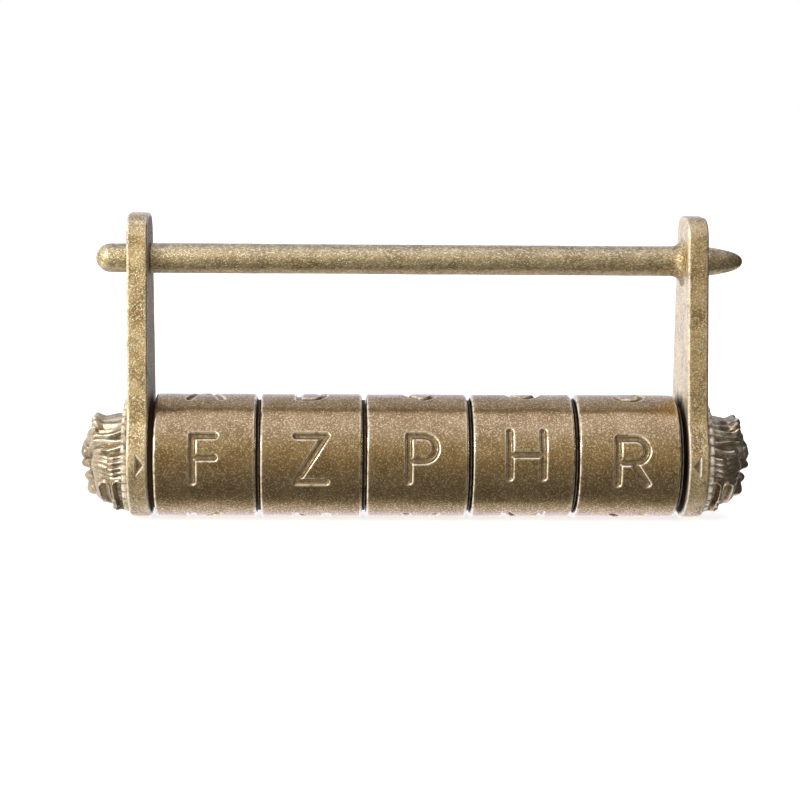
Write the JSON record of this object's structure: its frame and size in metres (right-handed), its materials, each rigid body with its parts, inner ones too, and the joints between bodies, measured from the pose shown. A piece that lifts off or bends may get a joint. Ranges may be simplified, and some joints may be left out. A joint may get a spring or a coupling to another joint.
{
  "type": "letter-ring combination padlock",
  "caption": "Letter-ring padlock with a round shackle bar and lion head end caps. One half pulls out when every ring shows its code letter.",
  "frame": {"origin": "on the shackle bar's axis, half way between the two end plates", "axes": "+X along the rings from the fixed lock half to the shackle half, +Y away from the code letters, +Z from the rings up to the shackle bar"},
  "size_m": [0.0798, 0.0147, 0.0361],
  "materials": {
    "plate_brass": "antique plated, finely speckled",
    "ring_brass": "antique plated, polished high spots over a dark olive ground",
    "bar_brass": "antique plated, drawn along its length",
    "lion_brass": "antique plated casting, dark in the recesses",
    "inner_brass": "turned, satin",
    "bolt_steel": "turned, satin"
  },
  "bodies": {
    "shackle_half": {"right_end_plate": "plate_brass", "shackle_bar": "bar_brass", "bolt_rod": "bolt_steel", "right_lion_head": "lion_brass", "right_head_rivet_1": "bolt_steel", "right_head_rivet_2": "bolt_steel", "bolt_stud_1": "bolt_steel", "bolt_stud_2": "bolt_steel", "bolt_stud_3": "bolt_steel", "bolt_stud_4": "bolt_steel", "bolt_stud_5": "bolt_steel"},
    "lock_half": {"left_end_plate": "plate_brass", "core_tube": "inner_brass", "tube_collar": "inner_brass", "left_lion_head": "lion_brass", "left_head_rivet_1": "bolt_steel", "left_head_rivet_2": "bolt_steel"},
    "ring_1": {"letter_ring_1": "ring_brass", "gate_bush_1": "inner_brass"},
    "ring_2": {"letter_ring_2": "ring_brass", "gate_bush_2": "inner_brass"},
    "ring_3": {"letter_ring_3": "ring_brass", "gate_bush_3": "inner_brass"},
    "ring_4": {"letter_ring_4": "ring_brass", "gate_bush_4": "inner_brass"},
    "ring_5": {"letter_ring_5": "ring_brass", "gate_bush_5": "inner_brass"}
  },
  "joints": [
    {"name": "bolt_slide", "type": "slide", "parent": "shackle_half", "child": "lock_half", "axis": [-1, 0, 0], "range_m": [0, 0.064]},
    {"name": "ring_1_turn", "type": "hinge", "parent": "lock_half", "child": "ring_1", "pos_m": [0, 0, -0.02345], "axis": [1, 0, 0], "continuous": true},
    {"name": "ring_2_turn", "type": "hinge", "parent": "lock_half", "child": "ring_2", "pos_m": [0, 0, -0.02345], "axis": [1, 0, 0], "continuous": true},
    {"name": "ring_3_turn", "type": "hinge", "parent": "lock_half", "child": "ring_3", "pos_m": [0, 0, -0.02345], "axis": [1, 0, 0], "continuous": true},
    {"name": "ring_4_turn", "type": "hinge", "parent": "lock_half", "child": "ring_4", "pos_m": [0, 0, -0.02345], "axis": [1, 0, 0], "continuous": true},
    {"name": "ring_5_turn", "type": "hinge", "parent": "lock_half", "child": "ring_5", "pos_m": [0, 0, -0.02345], "axis": [1, 0, 0], "continuous": true}
  ]
}
